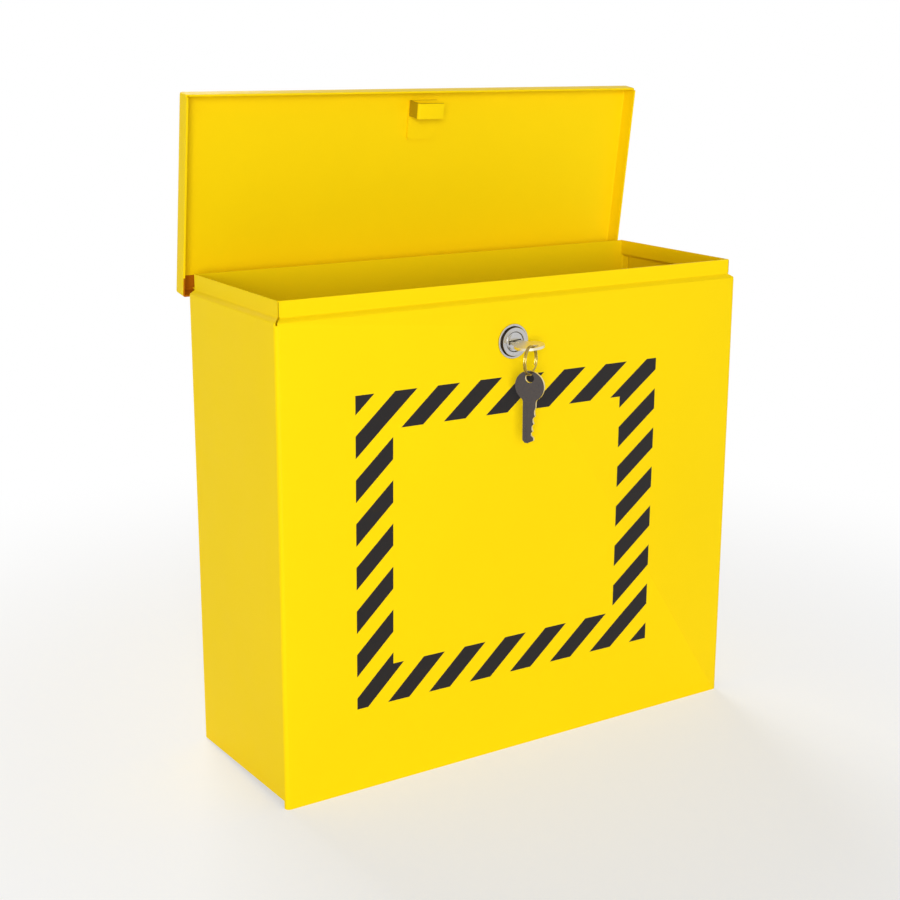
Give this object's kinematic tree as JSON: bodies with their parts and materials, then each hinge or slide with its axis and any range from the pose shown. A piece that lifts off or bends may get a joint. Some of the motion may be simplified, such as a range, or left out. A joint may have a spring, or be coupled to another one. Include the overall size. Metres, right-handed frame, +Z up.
{
  "type": "lockout box",
  "caption": "Upright sheet steel lockout box with a piano-hinged tray lid, a front cam lock that hooks a keeper under the lid, and keys on a split ring.",
  "frame": {"origin": "middle of the base panel's flat underside, 6 mm above the surface that the front and back edges stand on", "axes": "+X to the right seen from the front, +Y from the front panel to the hinge, +Z up"},
  "size_m": [0.342, 0.177, 0.4203],
  "materials": {
    "yellow_paint": "smooth gloss powder coat",
    "zinc_plate": "bright zinc plate",
    "chrome_plate": "bright chrome plate",
    "wafer_brass": "stamped brass",
    "nickel_key": "nickel plate, slightly dull",
    "ring_wire": "plated spring wire"
  },
  "bodies": {
    "case": {"front_and_sides": "yellow_paint", "back_panel": "yellow_paint", "base_panel": "yellow_paint", "case_hinge_leaf": "yellow_paint", "hinge_pin": "zinc_plate", "lock_housing": "chrome_plate", "lock_nut": "zinc_plate", "nut_washer": "zinc_plate"},
    "lid": {"lid_pan": "yellow_paint", "lid_hinge_leaf": "yellow_paint", "lock_keeper": "yellow_paint"},
    "plug": {"lock_plug": "chrome_plate", "wafer_1": "wafer_brass", "wafer_2": "wafer_brass", "wafer_3": "wafer_brass", "wafer_4": "wafer_brass", "wafer_5": "wafer_brass", "stop_washer": "zinc_plate", "cam": "zinc_plate", "spring_washer": "zinc_plate", "cam_screw": "zinc_plate"},
    "key": {"key_in_lock": "nickel_key"},
    "ring": {"key_ring": "ring_wire"},
    "spare": {"spare_key": "nickel_key"}
  },
  "joints": [
    {"name": "lid_hinge", "type": "hinge", "parent": "case", "child": "lid", "pos_m": [0, 0.0639, 0.2865], "axis": [-1, 0, 0], "range_deg": [-82, 105]},
    {"name": "plug_turn", "type": "hinge", "parent": "case", "child": "plug", "pos_m": [-0.0106, -0.06, 0.2663], "axis": [0, -1, 0], "range_deg": [-5, 85]},
    {"name": "key_slide", "type": "slide", "parent": "plug", "child": "key", "axis": [0, -1, 0], "range_m": [0, 0.0234]},
    {"name": "ring_swing", "type": "hinge", "parent": "key", "child": "ring", "pos_m": [-0.01518, -0.08596, 0.2663], "axis": [0.848, 0.5299, 0], "range_deg": [-18, 15]},
    {"name": "spare_key_swing", "type": "hinge", "parent": "ring", "child": "spare", "pos_m": [-0.01518, -0.08596, 0.25042], "axis": [0.848, 0.5299, 0], "range_deg": [-40, 12]}
  ]
}
